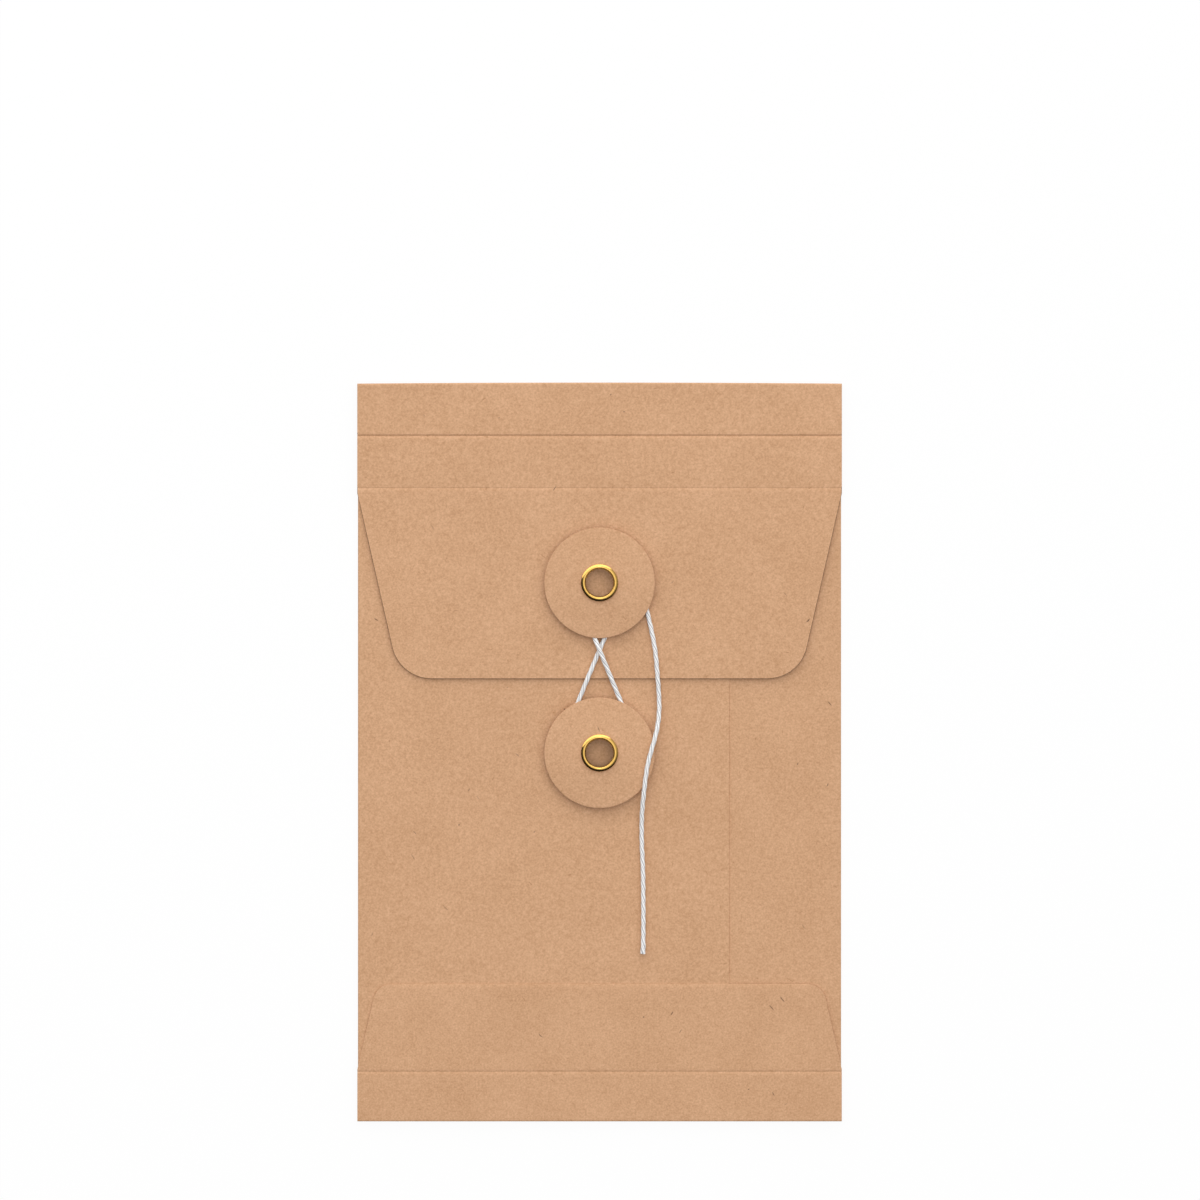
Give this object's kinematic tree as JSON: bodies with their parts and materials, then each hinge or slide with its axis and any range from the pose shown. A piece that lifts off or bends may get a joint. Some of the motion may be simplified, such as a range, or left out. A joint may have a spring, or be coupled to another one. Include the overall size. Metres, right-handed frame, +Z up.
{
  "type": "string tie envelope",
  "caption": "Gusseted brown paper envelope with a creased closing flap, card discs on brass eyelets and a cotton string wound round them to tie it shut.",
  "frame": {"origin": "middle of the back panel's underside, on the axis of the lower disc", "axes": "+X to the right of the front, +Y towards the top fold, +Z up out of the front"},
  "size_m": [0.114, 0.174, 0.005],
  "materials": {
    "brown_paper": "matt, mottled brown paper with fine fibres",
    "disc_card": "matt brown card",
    "eyelet_brass": "polished brass",
    "cotton_string": "twisted white cotton",
    "glue": "dried glue film"
  },
  "bodies": {
    "back": {"back_panel": "brown_paper"},
    "rear_bottom": {"rear_bottom_strip": "brown_paper"},
    "bottom_fold": {"bottom_fold": "brown_paper"},
    "front_bottom": {"front_bottom_strip": "brown_paper"},
    "front": {"left_front_panel": "brown_paper", "right_front_panel": "brown_paper", "seam_glue": "glue", "bottom_flap": "brown_paper", "bottom_flap_glue": "glue", "lower_eyelet": "eyelet_brass"},
    "left_rear_gusset": {"left_rear_gusset": "brown_paper"},
    "left_front_gusset": {"left_front_gusset": "brown_paper"},
    "right_rear_gusset": {"right_rear_gusset": "brown_paper"},
    "right_front_gusset": {"right_front_gusset": "brown_paper"},
    "top_fold": {"top_fold": "brown_paper"},
    "flap_upper": {"flap_upper_strip": "brown_paper"},
    "flap_lower": {"flap_lower_strip": "brown_paper"},
    "closing_flap": {"closing_flap": "brown_paper", "upper_eyelet": "eyelet_brass", "string_winding": "cotton_string", "string_tail": "cotton_string"},
    "upper_disc": {"upper_disc": "disc_card"},
    "lower_disc": {"lower_disc": "disc_card"}
  },
  "joints": [
    {"name": "pocket_expand", "type": "hinge", "parent": "back", "child": "rear_bottom", "pos_m": [0, -0.07525, 0.0002], "axis": [-1, 0, 0], "range_deg": [0, 90], "deforming": ["string_winding", "string_tail"]},
    {"name": "bottom_fold_rear", "type": "hinge", "parent": "rear_bottom", "child": "bottom_fold", "pos_m": [0, -0.08615, 0], "axis": [-1, 0, 0], "range_deg": [-90, 0]},
    {"name": "bottom_fold_front", "type": "hinge", "parent": "bottom_fold", "child": "front_bottom", "pos_m": [0, -0.08615, 0.0017], "axis": [-1, 0, 0], "range_deg": [-90, 0]},
    {"name": "front_crease", "type": "hinge", "parent": "front_bottom", "child": "front", "pos_m": [0, -0.07525, 0.0015], "axis": [-1, 0, 0], "range_deg": [0, 90]},
    {"name": "left_gusset_edge", "type": "hinge", "parent": "back", "child": "left_rear_gusset", "pos_m": [-0.05677, 0, 0.00022], "axis": [0, -1, 0], "range_deg": [0, 90]},
    {"name": "left_gusset_crease", "type": "hinge", "parent": "left_rear_gusset", "child": "left_front_gusset", "pos_m": [-0.04553, 0, 0.00047], "axis": [0, -1, 0], "range_deg": [-180, 0]},
    {"name": "right_gusset_edge", "type": "hinge", "parent": "back", "child": "right_rear_gusset", "pos_m": [0.05677, 0, 0.00022], "axis": [0, 1, 0], "range_deg": [0, 90]},
    {"name": "right_gusset_crease", "type": "hinge", "parent": "right_rear_gusset", "child": "right_front_gusset", "pos_m": [0.04553, 0, 0.00047], "axis": [0, 1, 0], "range_deg": [-180, 0]},
    {"name": "top_fold_rear", "type": "hinge", "parent": "back", "child": "top_fold", "pos_m": [0, 0.086, 0], "axis": [-1, 0, 0], "range_deg": [0, 90]},
    {"name": "flap_open", "type": "hinge", "parent": "top_fold", "child": "flap_upper", "pos_m": [0, 0.086, 0.002], "axis": [-1, 0, 0], "range_deg": [0, 180], "deforming": ["string_winding", "string_tail"]},
    {"name": "flap_first_crease", "type": "hinge", "parent": "flap_upper", "child": "flap_lower", "pos_m": [0, 0.0749, 0.002], "axis": [-1, 0, 0], "range_deg": [0, 90], "deforming": ["string_winding", "string_tail"]},
    {"name": "flap_second_crease", "type": "hinge", "parent": "flap_lower", "child": "closing_flap", "pos_m": [0, 0.062, 0.0018], "axis": [-1, 0, 0], "range_deg": [-90, 0]},
    {"name": "upper_disc_spin", "type": "hinge", "parent": "closing_flap", "child": "upper_disc", "pos_m": [0, 0.04, 0.002], "axis": [0, 0, 1], "continuous": true},
    {"name": "lower_disc_spin", "type": "hinge", "parent": "front", "child": "lower_disc", "pos_m": [0, 0, 0.00145], "axis": [0, 0, 1], "continuous": true}
  ],
  "couplings": [
    {"joint": "bottom_fold_rear", "follows": "pocket_expand", "ratio": -1},
    {"joint": "bottom_fold_front", "follows": "pocket_expand", "ratio": -1},
    {"joint": "front_crease", "follows": "pocket_expand", "ratio": 1},
    {"joint": "left_gusset_edge", "follows": "pocket_expand", "ratio": 1},
    {"joint": "left_gusset_crease", "follows": "pocket_expand", "ratio": -2},
    {"joint": "right_gusset_edge", "follows": "pocket_expand", "ratio": 1},
    {"joint": "right_gusset_crease", "follows": "pocket_expand", "ratio": -2},
    {"joint": "top_fold_rear", "follows": "pocket_expand", "ratio": 1},
    {"joint": "flap_second_crease", "follows": "pocket_expand", "ratio": -1}
  ]
}
